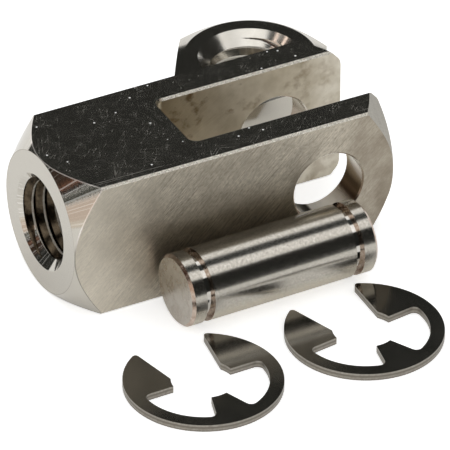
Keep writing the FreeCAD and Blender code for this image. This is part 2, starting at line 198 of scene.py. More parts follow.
def cut_thread(mesh, tool_mesh):
    """The mesh with a thread cut by the tool."""
    scene = bpy.context.scene
    blank = bpy.data.objects.new("blank", mesh)
    tool = bpy.data.objects.new("tool", tool_mesh)
    for item in (blank, tool):
        scene.collection.objects.link(item)
    cut = blank.modifiers.new("Thread", "BOOLEAN")
    cut.operation = "DIFFERENCE"
    cut.solver = "EXACT"
    cut.object = tool
    bpy.context.view_layer.update()
    graph = bpy.context.evaluated_depsgraph_get()
    threaded = bpy.data.meshes.new_from_object(blank.evaluated_get(graph))
    for item in (blank, tool):
        bpy.data.objects.remove(item)
    return threaded


def add(tree, kind, **values):
    """A node with its plain properties and its sockets' own values set."""
    node = tree.nodes.new("ShaderNode" + kind)
    for key, value in values.items():
        if hasattr(node, key) and key not in node.inputs:
            setattr(node, key, value)
        else:
            node.inputs[key].default_value = value
    return node


def ramp_of(tree, *stops):
    """A colour ramp with its stops, each a place and a tone."""
    ramp = tree.nodes.new("ShaderNodeValToRGB")
    elements = ramp.color_ramp.elements
    while len(elements) < len(stops):
        elements.new(0.5)
    for element, (place, tone) in zip(elements, stops):
        element.position = place
        element.color = (*tone, 1)
    return ramp


def feed(tree, socket, value):
    """Puts a number, a tone or another node's output into a socket."""
    if isinstance(value, (int, float)):
        socket.default_value = value
    elif isinstance(value, tuple):
        socket.default_value = (*value, 1)
    else:
        tree.links.new(value, socket)


def combine(tree, operation, first, second):
    """One sum, product or other result of two numbers or outputs."""
    node = add(tree, "Math", operation=operation)
    feed(tree, node.inputs[0], first)
    feed(tree, node.inputs[1], second)
    return node.outputs[0]


def rise(tree, value, start, end, most=1.0):
    """From 0 where the value is at its start to most at its end, and level beyond both."""
    node = add(tree, "MapRange")
    for label, amount in (("Value", value), ("From Min", start), ("From Max", end), ("To Max", most)):
        feed(tree, node.inputs[label], amount)
    return node.outputs[0]


def spread(tree, value, low, high):
    """The value from 0 to 1, spread between two others."""
    node = add(tree, "MapRange")
    for label, amount in (("Value", value), ("To Min", low), ("To Max", high)):
        feed(tree, node.inputs[label], amount)
    return node.outputs[0]


def blend_tones(tree, amount, first, second):
    """A colour between two, each a tone or another node's colour."""
    mix = add(tree, "Mix", data_type="RGBA")
    colours = [socket for socket in mix.inputs if socket.type == "RGBA"]
    feed(tree, mix.inputs[0], amount)
    feed(tree, colours[0], first)
    feed(tree, colours[1], second)
    return [socket for socket in mix.outputs if socket.type == "RGBA"][0]


def parts_of(tree, place):
    """The place's X, Y and Z."""
    parts = add(tree, "SeparateXYZ")
    tree.links.new(place, parts.inputs[0])
    return parts.outputs


def radius_about_x(tree, place):
    """The place's distance from the X axis."""
    flat = add(tree, "VectorMath", operation="MULTIPLY")
    flat.inputs[1].default_value = (0, 1, 1)
    tree.links.new(place, flat.inputs[0])
    length = add(tree, "VectorMath", operation="LENGTH")
    tree.links.new(flat.outputs[0], length.inputs[0])
    return length.outputs["Value"]


def bump(tree, shader, height, depth):
    """Bump by a height, its depth in metres."""
    node = add(tree, "Bump", Strength=1.0, Distance=depth)
    tree.links.new(height, node.inputs["Height"])
    tree.links.new(node.outputs[0], shader.inputs["Normal"])


def blank_material(name):
    """A material with nothing in its node tree."""
    material = bpy.data.materials.new(name)
    material.use_nodes = True
    material.node_tree.nodes.clear()
    return material


def show(tree, shader):
    """Makes the shader the material's surface."""
    output = add(tree, "OutputMaterial")
    tree.links.new(shader.outputs[0], output.inputs["Surface"])


def new_group(name, inputs, outputs):
    """An empty shader node group with named sockets; a socket is its name and kind."""
    group = bpy.data.node_groups.new(name, "ShaderNodeTree")
    for label, kind, *value in inputs:
        made = group.interface.new_socket(name=label, in_out="INPUT", socket_type="NodeSocket" + kind)
        if value:
            made.default_value = value[0]
    for label, kind in outputs:
        group.interface.new_socket(name=label, in_out="OUTPUT", socket_type="NodeSocket" + kind)
    return group, group.nodes.new("NodeGroupInput"), group.nodes.new("NodeGroupOutput")


# Over what height of the noise a scratch comes in
MARK_RISE = 0.06


def make_scratches():
    """Fine straight scratches in one direction: their height, and a mask of the deepest ones."""
    group, given, result = new_group(
        "scratches",
        [
            ("Vector", "Vector"),
            ("Axis", "Vector", (0, 0, 1)),
            ("Turn", "Float", 0.0),
            ("Per mm", "Float", 6.0),
            ("Stretch", "Float", 12.0),
            ("Least", "Float", 0.6),
        ],
        [("Height", "Float"), ("Marks", "Float")],
    )
    links = group.links
    turn = add(group, "VectorRotate", rotation_type="AXIS_ANGLE")
    links.new(given.outputs["Vector"], turn.inputs["Vector"])
    links.new(given.outputs["Axis"], turn.inputs["Axis"])
    links.new(given.outputs["Turn"], turn.inputs["Angle"])
    narrow = combine(group, "DIVIDE", given.outputs["Per mm"], given.outputs["Stretch"])
    scale = add(group, "CombineXYZ")
    links.new(narrow, scale.inputs["X"])
    links.new(given.outputs["Per mm"], scale.inputs["Y"])
    links.new(given.outputs["Per mm"], scale.inputs["Z"])
    stretched = add(group, "VectorMath", operation="MULTIPLY")
    links.new(turn.outputs[0], stretched.inputs[0])
    links.new(scale.outputs[0], stretched.inputs[1])
    fine = add(group, "TexNoise", Detail=2.0, Roughness=0.6, Scale=1.0)
    links.new(stretched.outputs[0], fine.inputs["Vector"])
    full = combine(group, "ADD", given.outputs["Least"], MARK_RISE)
    marks = rise(group, fine.outputs["Fac"], given.outputs["Least"], full)
    links.new(fine.outputs["Fac"], result.inputs["Height"])
    links.new(marks, result.inputs["Marks"])
    return group


def make_specks():
    """Sparse small dents that catch the light, as a mask."""
    group, given, result = new_group(
        "specks",
        [("Vector", "Vector"), ("Per mm", "Float", 1.6), ("Size", "Float", 0.09), ("Share", "Float", 0.3)],
        [("Marks", "Float")],
    )
    links = group.links
    cells = add(group, "TexVoronoi")
    links.new(given.outputs["Vector"], cells.inputs["Vector"])
    links.new(given.outputs["Per mm"], cells.inputs["Scale"])
    near = combine(group, "LESS_THAN", cells.outputs["Distance"], given.outputs["Size"])
    parts = add(group, "SeparateColor")
    links.new(cells.outputs["Color"], parts.inputs[0])
    chosen = combine(group, "LESS_THAN", parts.outputs[0], given.outputs["Share"])
    links.new(combine(group, "MULTIPLY", near, chosen), result.inputs["Marks"])
    return group


def make_rings():
    """Turning marks: fine rings that change only with one coordinate, in millimetres."""
    group, given, result = new_group(
        "turning_rings", [("Place", "Float"), ("Per mm", "Float", 5.0)], [("Height", "Float")]
    )
    links = group.links
    scaled = combine(group, "MULTIPLY", given.outputs["Place"], given.outputs["Per mm"])
    noise = add(group, "TexNoise", noise_dimensions="1D", Detail=3.0, Roughness=0.7, Scale=1.0)
    links.new(scaled, noise.inputs["W"])
    links.new(noise.outputs["Fac"], result.inputs["Height"])
    return group


def make_mottle():
    """Soft uneven patches, from 0 to 1."""
    group, given, result = new_group(
        "mottle",
        [("Vector", "Vector"), ("Per mm", "Float", 0.8), ("Detail", "Float", 3.0)],
        [("Amount", "Float")],
    )
    links = group.links
    noise = add(group, "TexNoise", Roughness=0.55)
    links.new(given.outputs["Vector"], noise.inputs["Vector"])
    links.new(given.outputs["Per mm"], noise.inputs["Scale"])
    links.new(given.outputs["Detail"], noise.inputs["Detail"])
    links.new(rise(group, noise.outputs["Fac"], 0.3, 0.7), result.inputs["Amount"])
    return group


def use_group(tree, group, place, **values):
    """A shared effect in a material, reading the place in millimetres."""
    node = tree.nodes.new("ShaderNodeGroup")
    node.node_tree = group
    for key, value in values.items():
        node.inputs[key.replace("_", " ")].default_value = value
    tree.links.new(place, node.inputs[0])
    return node.outputs


SCRATCHES = make_scratches()
SPECKS = make_specks()
RINGS = make_rings()
MOTTLE = make_mottle()

STEEL = (0.60, 0.57, 0.51)
# Dark brown, painted as shade at the rim of the fork's end face
RIM_SHADE = (0.20, 0.15, 0.10)


def steel(name, build, tone=STEEL, roughness=0.4):
    """Bare steel of one finish. The builder wires what varies over the surface."""
    material = blank_material(name)
    tree = material.node_tree
    shader = add(tree, "BsdfPrincipled", Metallic=1.0, Roughness=roughness)
    feed(tree, shader.inputs["Base Color"], tone)
    show(tree, shader)
    coords = add(tree, "TexCoord")
    in_mm = add(tree, "Mapping")
    in_mm.inputs["Scale"].default_value = (1 / MM, 1 / MM, 1 / MM)
    tree.links.new(coords.outputs["Object"], in_mm.inputs["Vector"])
    build(tree, shader, in_mm.outputs["Vector"])
    return material


# The ways in which the fork's top is scratched: each its turn, its scratches per mm and its least height
TOP_SCRATCHES = ((0.35, 8.0, 0.62), (-0.75, 9.0, 0.60), (1.35, 8.5, 0.63), (-1.15, 7.0, 0.61))


def ground_top(tree, shader, place):
    """Ground and handled: dark mirror with faint short scratches each way, and a few dents painted near
    white and not metallic, as painted glints.
    """
    wear = None
    for turn, per_mm, least in TOP_SCRATCHES:
        marks = use_group(tree, SCRATCHES, place, Turn=turn, Per_mm=per_mm, Stretch=20.0, Least=least)
        wear = combine(tree, "MAXIMUM", wear, marks["Marks"]) if wear else marks["Marks"]
    patches = use_group(tree, MOTTLE, place, Per_mm=1.2)["Amount"]
    dents = use_group(tree, SPECKS, place, Per_mm=0.9, Size=0.08, Share=0.55)["Marks"]
    near_edge = rise(tree, parts_of(tree, place)["Y"], -3.6, -4.2)
    long_marks = use_group(tree, SCRATCHES, place, Turn=0.03, Per_mm=4.0, Stretch=90.0, Least=0.56)["Marks"]
    long_marks = combine(tree, "MULTIPLY", long_marks, near_edge)
    worn = combine(tree, "MULTIPLY", wear, spread(tree, patches, 0.05, 0.125))
    fine = use_group(tree, SCRATCHES, place, Turn=-0.9, Per_mm=14.0, Stretch=5.0, Least=0.55)["Marks"]
    worn = combine(tree, "ADD", worn, combine(tree, "MULTIPLY", fine, 0.035))
    worn = combine(tree, "MAXIMUM", worn, combine(tree, "MULTIPLY", long_marks, 0.17))
    rough = combine(tree, "ADD", spread(tree, patches, 0.10, 0.17), worn)
    tree.links.new(rough, shader.inputs["Roughness"])
    # Painted glints: where the dents are, the colour is near white and not metallic, so they stay bright.
    bare = combine(tree, "SUBTRACT", 1.0, dents)
    tree.links.new(bare, shader.inputs["Metallic"])
    tree.links.new(blend_tones(tree, dents, STEEL, (0.9, 0.9, 0.88)), shader.inputs["Base Color"])
    grain = use_group(tree, SCRATCHES, place, Turn=0.5, Per_mm=5.0, Stretch=5.0)["Height"]
    bump(tree, shader, grain, 0.004 * MM)


def satin_side(tree, shader, place):
    """Brushed on the slant, with fine dark and light lines and soft patches; painted shade darkens it
    towards the mouth and a painted lighter tone brightens it towards the thread end.
    """
    lines = use_group(tree, SCRATCHES, place, Axis=(0, 1, 0), Turn=0.78, Per_mm=9.0, Stretch=24.0)
    fine = use_group(tree, SCRATCHES, place, Axis=(0, 1, 0), Turn=0.72, Per_mm=12.0, Stretch=4.0)
    patches = use_group(tree, MOTTLE, place, Per_mm=0.5, Detail=5.0)["Amount"]
    tone = blend_tones(tree, patches, (0.48, 0.43, 0.35), (0.75, 0.69, 0.58))
    streak = combine(tree, "ADD", lines["Height"], fine["Height"])
    shade = rise(tree, streak, 0.7, 1.2)
    tone = blend_tones(tree, shade, (0.33, 0.295, 0.24), tone)
    deep = use_group(tree, SCRATCHES, place, Axis=(0, 1, 0), Turn=0.8, Per_mm=6.0, Stretch=26.0)
    tone = blend_tones(tree, spread(tree, deep["Marks"], 0.0, 0.35), tone, (0.24, 0.21, 0.165))
    along = parts_of(tree, place)
    # Painted shade: the side is painted darker towards the mouth.
    towards_mouth = rise(tree, along["X"], -1.0, 6.0, 0.8)
    mouth_shade_tone = blend_tones(tree, patches, (0.23, 0.185, 0.135), (0.40, 0.355, 0.285))
    tone = blend_tones(tree, towards_mouth, tone, mouth_shade_tone)
    # Painted light: the side is painted paler towards the thread end.
    towards_thread = rise(tree, along["X"], -15.0, -22.0, 0.5)
    tone = blend_tones(tree, towards_thread, tone, (0.92, 0.86, 0.74))
    tree.links.new(tone, shader.inputs["Base Color"])
    tree.links.new(spread(tree, lines["Height"], 0.30, 0.55), shader.inputs["Roughness"])
    bump(tree, shader, streak, 0.012 * MM)


def turned_about_x(tree, shader, place):
    """Faced and turned about the fork's axis, with very fine rings and a dark line of painted shade at the
    face's rim.
    """
    radius = radius_about_x(tree, place)
    rings = use_group(tree, RINGS, radius, Per_mm=6.0)["Height"]
    # Painted shade: a dark brown line at the rim of the face.
    rim = rise(tree, radius, 6.22, 6.30)
    tone = blend_tones(tree, spread(tree, rim, 0.0, 0.7), STEEL, RIM_SHADE)
    tree.links.new(tone, shader.inputs["Base Color"])
    patches = use_group(tree, MOTTLE, place, Per_mm=6.0)["Amount"]
    tree.links.new(spread(tree, patches, 0.18, 0.28), shader.inputs["Roughness"])
    bump(tree, shader, rings, 0.004 * MM)


def turned_cone(tree, shader, place):
    """Turned cone and countersink: pale streaks of painted highlight, partly polish marks, near the top of
    the cone and in the countersink, and a line at the flats' edge, painted highlight high up and painted
    shade low down.
    """
    radius = radius_about_x(tree, place)
    rings = use_group(tree, RINGS, radius, Per_mm=6.0)["Height"]
    tree.links.new(spread(tree, rings, 0.06, 0.12), shader.inputs["Roughness"])
    parts = parts_of(tree, place)
    off_y = combine(tree, "ABSOLUTE", parts["Y"], 0.0)
    off_z = combine(tree, "ABSOLUTE", parts["Z"], 0.0)
    edge = rise(tree, combine(tree, "MAXIMUM", off_y, off_z), 6.25, 6.30)
    angle = combine(tree, "ARCTAN2", parts["Y"], parts["Z"])
    # Painted highlight, partly polish marks: pale, less metallic streaks around the cone near its top and
    # in the countersink.
    streaks = use_group(tree, RINGS, angle, Per_mm=16.0)["Height"]
    streak = rise(tree, streaks, 0.53, 0.61, 0.9)
    upper = rise(tree, parts["Z"], 0.5, 2.5)
    countersunk = rise(tree, radius, 5.0, 4.6)
    near_top = rise(tree, parts["Z"], 2.6, 3.4)
    where = combine(tree, "MAXIMUM", near_top, countersunk)
    streak_highlight = combine(tree, "MULTIPLY", streak, where)
    # Painted highlight and shade along the flats' edge: pale and less metallic high up, dark low down.
    edge_light_and_shade = blend_tones(tree, upper, (0.30, 0.275, 0.235), (0.92, 0.86, 0.80))
    bright = combine(tree, "MULTIPLY", edge, upper)
    bare = combine(tree, "MAXIMUM", bright, streak_highlight)
    tone = blend_tones(tree, streak_highlight, STEEL, (0.84, 0.81, 0.75))
    tone = blend_tones(tree, edge, tone, edge_light_and_shade)
    tree.links.new(tone, shader.inputs["Base Color"])
    tree.links.new(spread(tree, bare, 1.0, 0.7), shader.inputs["Metallic"])
    bump(tree, shader, rings, 0.002 * MM)


def turned_mouth(tree, shader, place):
    """Mouth end: turned and handled, grey with fine light specks and soft rings."""
    rings = use_group(tree, RINGS, radius_about_x(tree, place), Per_mm=3.0)["Height"]
    specks = use_group(tree, MOTTLE, place, Per_mm=7.0, Detail=4.0)["Amount"]
    mixed = combine(tree, "MULTIPLY", combine(tree, "ADD", rings, specks), 0.5)
    tone = blend_tones(tree, mixed, (0.22, 0.205, 0.175), (0.52, 0.49, 0.43))
    tree.links.new(tone, shader.inputs["Base Color"])
    tree.links.new(spread(tree, specks, 0.26, 0.42), shader.inputs["Roughness"])
    bump(tree, shader, specks, 0.006 * MM)


def bored_about_y(tree, shader, place):
    """Cross bore: smooth, with the drill's rings, bands of painted reflection and stain up its height, and
    a black patch of painted shade low down.
    """
    along = parts_of(tree, place)
    rings = use_group(tree, RINGS, along["Y"], Per_mm=4.0)["Height"]
    tone = blend_tones(tree, rings, (0.44, 0.37, 0.30), (0.72, 0.66, 0.58))
    height = rise(tree, along["Z"], -3.25, 3.25)
    # Painted reflection and stain: pale, copper and dark brown bands by height, pale at the bottom and the
    # top.
    stain_and_reflection_bands = ramp_of(
        tree,
        (0.0, (0.95, 0.93, 0.87)),
        (0.13, (0.85, 0.76, 0.66)),
        (0.20, (0.24, 0.13, 0.08)),
        (0.26, (0.80, 0.60, 0.48)),
        (0.34, (0.20, 0.13, 0.08)),
        (0.52, (0.45, 0.38, 0.30)),
        (0.66, (1.0, 0.97, 0.88)),
    )
    tree.links.new(height, stain_and_reflection_bands.inputs[0])
    tone = blend_tones(tree, spread(tree, rings, 0.6, 0.8), tone, stain_and_reflection_bands.outputs[0])
    # Painted shade: a black patch low in the bore; the rest of its low part is made half metallic, so its
    # pale painted reflection shows.
    bottom = rise(tree, along["Z"], -2.0, -2.6)
    patch_start = rise(tree, along["X"], -2.3, -1.9)
    patch_end = rise(tree, along["X"], -0.5, -0.8)
    patch = combine(tree, "MULTIPLY", patch_start, patch_end)
    patch = combine(tree, "MULTIPLY", patch, bottom)
    tone = blend_tones(tree, patch, tone, (0.03, 0.027, 0.022))
    bare = combine(tree, "SUBTRACT", bottom, patch)
    tree.links.new(spread(tree, bare, 1.0, 0.5), shader.inputs["Metallic"])
    tree.links.new(tone, shader.inputs["Base Color"])
    tree.links.new(spread(tree, rings, 0.12, 0.24), shader.inputs["Roughness"])


def turned_along_x(tree, shader, place):
    """The pin's turned body: fine marks around it, which spread what it mirrors along its length; its
    underside is painted lighter as a painted reflection of the table, and made rougher.
    """
    grain = use_group(tree, SCRATCHES, place, Turn=1.57, Per_mm=7.0, Stretch=4.0)["Height"]
    patches = use_group(tree, MOTTLE, place, Per_mm=5.0)["Amount"]
    mixed = combine(tree, "MULTIPLY", combine(tree, "ADD", grain, patches), 0.5)
    tone = blend_tones(tree, mixed, (0.36, 0.33, 0.28), (0.66, 0.63, 0.57))
    # Painted reflection: the underside is painted a lighter beige, as the table below it lights it.
    underside = rise(tree, parts_of(tree, place)["Z"], -3.7, -4.6)
    dull = blend_tones(tree, mixed, (0.56, 0.51, 0.42), (0.78, 0.73, 0.63))
    tone = blend_tones(tree, underside, tone, dull)
    tree.links.new(tone, shader.inputs["Base Color"])
    duller = spread(tree, underside, 0.0, 0.22)
    rough = combine(tree, "ADD", spread(tree, patches, 0.22, 0.27), duller)
    tree.links.new(rough, shader.inputs["Roughness"])
    around = add(tree, "Tangent", direction_type="RADIAL", axis="X")
    tree.links.new(around.outputs[0], shader.inputs["Tangent"])
    shader.inputs["Anisotropic"].default_value = 0.85
    shader.inputs["Anisotropic Rotation"].default_value = 0.25
    bump(tree, shader, grain, 0.0008 * MM)


def pin_groove(tree, shader, place):
    """Bottom of a pin groove: sharp and bright, cut by the point of a tool."""
    patches = use_group(tree, MOTTLE, place, Per_mm=3.0)["Amount"]
    tree.links.new(spread(tree, patches, 0.04, 0.10), shader.inputs["Roughness"])
    tone = blend_tones(tree, patches, (0.50, 0.46, 0.41), (0.66, 0.64, 0.60))
    tree.links.new(tone, shader.inputs["Base Color"])


def pin_edge(tree, shader, place):
    """Groove walls and end chamfers of the pin, with a warm tint."""
    patches = use_group(tree, MOTTLE, place, Per_mm=3.0)["Amount"]
    tree.links.new(spread(tree, patches, 0.10, 0.30), shader.inputs["Roughness"])
    tone = blend_tones(tree, patches, (0.42, 0.31, 0.24), (0.66, 0.56, 0.48))
    tree.links.new(tone, shader.inputs["Base Color"])


def pin_face(tree, shader, place):
    """Faced end of the pin, worn and a little stained."""
    patches = use_group(tree, MOTTLE, place, Per_mm=1.3, Detail=5.0)["Amount"]
    tone = blend_tones(tree, patches, (0.46, 0.41, 0.35), (0.60, 0.56, 0.50))
    tree.links.new(tone, shader.inputs["Base Color"])
    tree.links.new(spread(tree, patches, 0.22, 0.36), shader.inputs["Roughness"])
    bump(tree, shader, patches, 0.004 * MM)


def crest_highlight(tree, shader, place):
    """Thread crests, painted pale and partly not metallic, as a painted highlight."""
    patches = use_group(tree, MOTTLE, place, Per_mm=3.0)["Amount"]
    tone = blend_tones(tree, patches, (0.72, 0.66, 0.56), (1.0, 0.95, 0.85))
    tree.links.new(tone, shader.inputs["Base Color"])
    tree.links.new(spread(tree, patches, 0.6, 0.2), shader.inputs["Metallic"])


def deburred_highlight(tree, shader, place):
    """Broken edge, uneven as a file leaves it, painted pale and partly not metallic as a painted highlight.
    """
    marks = use_group(tree, MOTTLE, place, Per_mm=8.0, Detail=2.0)["Amount"]
    tone = blend_tones(tree, marks, (0.44, 0.40, 0.33), (1.0, 0.96, 0.86))
    tree.links.new(tone, shader.inputs["Base Color"])
    tree.links.new(spread(tree, marks, 0.5, 0.0), shader.inputs["Metallic"])
    bump(tree, shader, marks, 0.03 * MM)


def milled_wall(tree, shader, place):
    """Slot walls: brushed the long way, with brown stain spots, and painted shade that darkens them deep in
    the slot.
    """
    lines = use_group(tree, SCRATCHES, place, Axis=(0, 1, 0), Turn=0.5, Per_mm=5.0, Stretch=8.0)["Height"]
    patches = use_group(tree, MOTTLE, place, Per_mm=0.45, Detail=3.0)["Amount"]
    spots = use_group(tree, MOTTLE, place, Per_mm=0.7, Detail=6.0)["Amount"]
    # Painted shade: darker deep in the slot, paler towards the mouth; the brown stains thin out towards the
    # mouth too.
    towards_mouth = rise(tree, parts_of(tree, place)["X"], -9.0, 9.0)
    slot_shade_tone = blend_tones(tree, towards_mouth, (0.68, 0.61, 0.48), (0.84, 0.80, 0.71))
    tone = blend_tones(tree, spread(tree, patches, 0.55, 0.0), slot_shade_tone, (0.34, 0.28, 0.18))
    stained = rise(tree, spots, 0.62, 0.95, 0.85)
    stain = combine(tree, "MULTIPLY", stained, spread(tree, towards_mouth, 1.0, 0.2))
    tone = blend_tones(tree, stain, tone, (0.20, 0.13, 0.06))
    tree.links.new(tone, shader.inputs["Base Color"])
    tree.links.new(spread(tree, lines, 0.3, 0.5), shader.inputs["Roughness"])
    bump(tree, shader, lines, 0.02 * MM)


def cut_flanks(tree, shader, place):
    """Thread flanks, painted near black with olive-brown patches, as painted shade in the thread's grooves.
    """
    patches = use_group(tree, MOTTLE, place, Per_mm=1.6, Detail=6.0)["Amount"]
    tone = blend_tones(tree, patches, (0.028, 0.021, 0.014), (0.15, 0.115, 0.076))
    tree.links.new(tone, shader.inputs["Base Color"])
    tree.links.new(spread(tree, patches, 0.15, 0.35), shader.inputs["Roughness"])


def plain_grain(tree, shader, place):
    """Smooth steel with a faint grain."""
    grain = use_group(tree, SCRATCHES, place, Turn=0.4, Per_mm=4.0, Stretch=4.0)["Height"]
    patches = use_group(tree, MOTTLE, place, Per_mm=0.3)["Amount"]
    tree.links.new(spread(tree, patches, 0.09, 0.16), shader.inputs["Roughness"])
    bump(tree, shader, grain, 0.0003 * MM)


def soft_bowl(tree, shader, place):
    """Countersink and thread of the nut: burnished soft, so that it mirrors in blurred bands."""
    patches = use_group(tree, MOTTLE, place, Per_mm=0.8)["Amount"]
    tree.links.new(spread(tree, patches, 0.14, 0.19), shader.inputs["Roughness"])
    tone = blend_tones(tree, patches, (0.60, 0.57, 0.51), (0.72, 0.69, 0.63))
    tree.links.new(tone, shader.inputs["Base Color"])


def rolled_strip(tree, shader, place):
    """Rolled strip, smooth, with soft patches."""
    patches = use_group(tree, MOTTLE, place, Per_mm=0.3)["Amount"]
    tree.links.new(spread(tree, patches, 0.12, 0.17), shader.inputs["Roughness"])
    grain = use_group(tree, MOTTLE, place, Per_mm=2.0)["Amount"]
    bump(tree, shader, grain, 0.0004 * MM)


def sheared(tree, shader, place):
    """Stamped edge: two grey bands with a dark one between them."""
    low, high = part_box("retaining_clip_left")
    height = rise(tree, parts_of(tree, place)["Z"], low.z / MM, high.z / MM)
    bands = ramp_of(
        tree,
        (0.0, (0.22, 0.20, 0.17)),
        (0.30, (0.46, 0.43, 0.375)),
        (0.52, (0.24, 0.22, 0.185)),
        (0.66, (0.20, 0.18, 0.15)),
        (0.78, (0.42, 0.395, 0.345)),
    )
    tree.links.new(height, bands.inputs[0])
    torn = use_group(tree, MOTTLE, place, Per_mm=5.0)["Amount"]
    tone = blend_tones(tree, spread(tree, torn, 0.0, 0.6), bands.outputs[0], (0.20, 0.175, 0.145))
    tree.links.new(tone, shader.inputs["Base Color"])
    bump(tree, shader, torn, 0.02 * MM)


def add_material(mesh, material):
    """Adds the material to the mesh and gives its place in the list."""
    mesh.materials.append(material)
    return len(mesh.materials) - 1


# How a face's normal lies to a direction: along it, roughly along it, square to it
LEVEL = 0.99
FACING = 0.9
UPRIGHT = 0.01

# How far a face may be off its surface and still count as part of it
SKIN = 0.05 * MM
HAIR = 0.01 * MM

# The fork's turned surfaces, as the solid has them, and where its finishes change
BORE_RADIUS = 3.25 * MM
BORE_BREAK = 0.12 * MM
SLOT_HALF = 3.4 * MM
SLOT_REACH = 11.45 * MM
SLOT_CORNER = 0.7 * MM
THREAD_END_FLAT = 6.3 * MM
MOUTH_END_FLAT = 6.25 * MM
MOUTH_ROUND = 0.9 * MM
TAP_RADIUS = 3.45 * MM
FORK_COUNTERSINK = 4.275 * MM
FORK_TAP_LEAD = 0.3 * MM
FORK_TAP_REACH = 12.9 * MM
PAST_SLOT = 5 * MM
CONE_DEPTH = 4 * MM
MOUTH_DEPTH = 6 * MM
MOUTH_INNER = 5 * MM
EDGE_BREAK = 0.25 * MM
BORE_LIP = 0.2 * MM


def fork_surfaces(low, high):
    """Bore and its broken edges, the cones of both ends, the slot's corners and the countersink."""
    centre = Vector((0, 0, 0))
    wide = high.z
    bore = [Turned(centre, Y, (-wide, BORE_RADIUS), (wide, BORE_RADIUS))]
    for side in (-1, 1):
        for wall, inward in ((wide, -1), (SLOT_HALF, 1)):
            inner = side * (wall + inward * BORE_BREAK)
            bore.append(Turned(centre, Y, (inner, BORE_RADIUS), (side * wall, BORE_RADIUS + BORE_BREAK)))
    ends = [
        Turned(centre, X, (low.x, THREAD_END_FLAT), (low.x + CONE_DEPTH, THREAD_END_FLAT + CONE_DEPTH)),
        Turned(centre, X, (high.x, MOUTH_END_FLAT), (high.x - CONE_DEPTH, MOUTH_END_FLAT + CONE_DEPTH)),
    ]
    round_start = MOUTH_END_FLAT - MOUTH_ROUND * math.tan(math.pi / 8)
    ends.append(Turned(centre, X, (high.x - MOUTH_ROUND, round_start), MOUTH_ROUND))
    depth = FORK_COUNTERSINK - TAP_RADIUS
    ends.append(Turned(centre, X, (low.x, FORK_COUNTERSINK), (low.x + depth, TAP_RADIUS)))
    ends.append(Turned(centre, X, (low.x, TAP_RADIUS), (-SLOT_REACH, TAP_RADIUS)))
    for side in (-1, 1):
        corner = Vector((SLOT_CORNER - SLOT_REACH, side * (SLOT_HALF - SLOT_CORNER), 0))
        bore.append(Turned(corner, Z, (-wide, SLOT_CORNER), (wide, SLOT_CORNER)))
    return bore + ends


# How far a face of a countersink or a bore may be off its true surface
CONE_MISS = 0.03 * MM
CONE_LEAN_MISS = 0.04
BORE_MISS = 0.004 * MM


def in_thread(face, start, axis, length, countersink):
    """Whether a face is part of a cut thread, not of the countersinks at its ends."""
    along = (face.center - start).dot(axis)
    across = (face.center - start - axis * along).length
    end = min(along, length - along)
    lean = abs(face.normal.dot(axis))
    if end <= -HAIR or lean > LEVEL:
        return False
    on_cone = abs(across - (countersink - end)) < CONE_MISS
    if on_cone and abs(lean - math.sqrt(0.5)) < CONE_LEAN_MISS:
        return False
    return TAP_RADIUS + BORE_MISS < across < THREAD_MAJOR_RADIUS + HAIR


def make_fork():
    """The fork, with its thread cut and a finish for each way it was machined."""
    low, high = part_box("clevis_fork")
    start = Vector((low.x - FORK_TAP_LEAD, 0, 0))
    mesh = cut_thread(merged_copy("clevis_fork", "fork_blank"), thread_tool(start, X, Z, FORK_TAP_REACH))
    end = Vector((low.x, 0, 0))
    depth = -SLOT_REACH - low.x + PAST_SLOT

    def in_fork_thread(face):
        return in_thread(face, end, X, depth, FORK_COUNTERSINK)

    true_normals(mesh, fork_surfaces(low, high), in_fork_thread)
    mesh.materials.clear()
    top = add_material(mesh, steel("fork_ground", ground_top))
    side = add_material(mesh, steel("fork_satin", satin_side))
    turned = add_material(mesh, steel("fork_turned", turned_about_x))
    cone = add_material(mesh, steel("fork_cone", turned_cone))
    mouth = add_material(mesh, steel("fork_mouth", turned_mouth))
    milled = add_material(mesh, steel("fork_milled", milled_wall))
    flanks = add_material(mesh, steel("fork_thread", cut_flanks))
    crests = add_material(mesh, steel("fork_crest_highlight", crest_highlight))
    broken = add_material(mesh, steel("fork_deburred", deburred_highlight))
    bored = add_material(mesh, steel("fork_bore", bored_about_y))
    half = high.z
    for face in mesh.polygons:
        normal, centre = face.normal, face.center
        off_axis = math.hypot(centre.y, centre.z)
        slanted = abs(normal.x) < UPRIGHT and abs(abs(normal.y) - abs(normal.z)) < 2 * UPRIGHT
        if abs(normal.z) > LEVEL and abs(centre.z) > half - SKIN:
            face.material_index = top
        elif abs(normal.y) > LEVEL and abs(centre.y) > half - SKIN:
            face.material_index = side
        elif in_fork_thread(face):
            face.material_index = flanks
        elif centre.x < SKIN - SLOT_REACH and abs(off_axis - TAP_RADIUS) < HAIR:
            face.material_index = crests
        elif slanted and abs(centre.z) > half - EDGE_BREAK:
            face.material_index = broken
        elif abs(normal.y) < FACING and math.hypot(centre.x, centre.z) < BORE_RADIUS + BORE_LIP:
            face.material_index = bored
        elif abs(centre.y) < SLOT_HALF + SKIN and centre.x > -SLOT_REACH - SKIN:
            face.material_index = milled
        elif centre.x > high.x - MOUTH_DEPTH and off_axis > MOUTH_INNER:
            face.material_index = mouth
        elif centre.x < low.x + CONE_DEPTH and abs(normal.x) < FACING:
            face.material_index = cone
        else:
            face.material_index = turned
    piece = piece_from(mesh, "fork", "clevis_fork")


NUT_END_FLAT = 5.8 * MM
NUT_CHAMFER = math.radians(30)
NUT_CHAMFER_REACH = 2 * MM
NUT_COUNTERSINK = 4.55 * MM
NUT_TAP_LEAD = 0.2 * MM
NUT_FACE = 0.95


